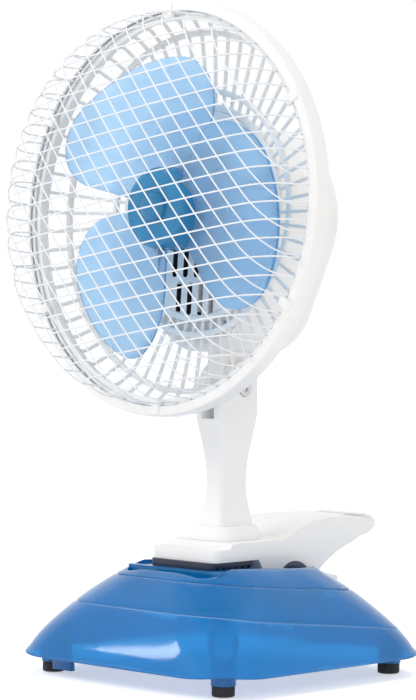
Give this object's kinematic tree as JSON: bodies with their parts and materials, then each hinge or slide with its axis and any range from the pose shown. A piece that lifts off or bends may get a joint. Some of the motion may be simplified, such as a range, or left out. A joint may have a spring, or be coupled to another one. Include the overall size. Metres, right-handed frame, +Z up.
{
  "type": "desk fan",
  "caption": "Small desk fan: round wire guard, bladed impeller and motor on a tilting, swivelling neck, clipped to the bridge of a pillow-shaped base.",
  "frame": {"origin": "on the floor under the middle of the whole outline", "axes": "+Z up, the fan blows towards -Y, the clip's lever points to +Y, +X to the right of someone who faces +Y"},
  "size_m": [0.1844, 0.1603, 0.301],
  "materials": {
    "white_plastic": "smooth moulded, semi-gloss",
    "white_wire": "powder-coated wire",
    "blue_clear": "clear blue, glossy",
    "blade_blue": "clear light blue, glossy",
    "soft_pad": "soft matte pad",
    "navy_plastic": "glossy",
    "black_rubber": "matte",
    "steel": "plain steel",
    "copper": "enamelled copper wire",
    "bronze": "sintered bronze",
    "switch_plastic": "matte"
  },
  "bodies": {
    "base": {"base_shell": "blue_clear", "foot_front_left": "black_rubber", "foot_front_right": "black_rubber", "foot_rear_left": "black_rubber", "foot_rear_right": "black_rubber", "clip_upper_jaw": "white_plastic", "upper_jaw_pad": "soft_pad", "hinge_pin": "steel", "hinge_caps": "navy_plastic", "torsion_spring": "steel"},
    "lower_jaw": {"clip_lower_jaw": "white_plastic", "lower_jaw_pad": "soft_pad"},
    "neck": {"neck": "white_plastic", "neck_collar": "white_plastic", "swivel_washer": "steel", "swivel_screw": "steel", "tilt_screw": "steel", "tilt_nut": "steel"},
    "head": {"guard_ring": "white_plastic", "front_grille": "white_wire", "rear_guard": "white_plastic", "motor_plate": "white_plastic", "motor_cover": "white_plastic", "stator_core": "steel", "motor_coil": "copper", "bearing_bracket_front": "steel", "bearing_bracket_rear": "steel", "bearing_front": "bronze", "bearing_rear": "bronze", "motor_screws": "steel", "cover_screws": "steel", "speed_switch": "switch_plastic"},
    "fan_wheel": {"impeller": "blade_blue", "hub_cap": "blade_blue", "shaft": "steel", "rotor": "steel"},
    "knob": {"speed_knob": "white_plastic"}
  },
  "joints": [
    {"name": "jaw_hinge", "type": "hinge", "parent": "base", "child": "lower_jaw", "pos_m": [0, 0.01715, 0.038], "axis": [1, 0, 0], "range_deg": [0, 18], "stiffness_Nm_per_rad": 0.3, "springref_deg": -68.75, "deforming": ["torsion_spring"]},
    {"name": "neck_swivel", "type": "hinge", "parent": "base", "child": "neck", "pos_m": [0, -0.00655, 0.0602], "axis": [0, 0, 1], "range_deg": [-90, 90]},
    {"name": "head_tilt", "type": "hinge", "parent": "neck", "child": "head", "pos_m": [0, -0.00395, 0.1284], "axis": [1, 0, 0], "range_deg": [-30, 30]},
    {"name": "fan_spin", "type": "hinge", "parent": "head", "child": "fan_wheel", "pos_m": [0, -0.04603, 0.20893], "axis": [0, 0.9976, -0.0698], "continuous": true},
    {"name": "speed_turn", "type": "hinge", "parent": "head", "child": "knob", "pos_m": [0, 0.02757, 0.1677], "axis": [0, -0.9976, 0.0698], "range_deg": [0, 120]}
  ]
}
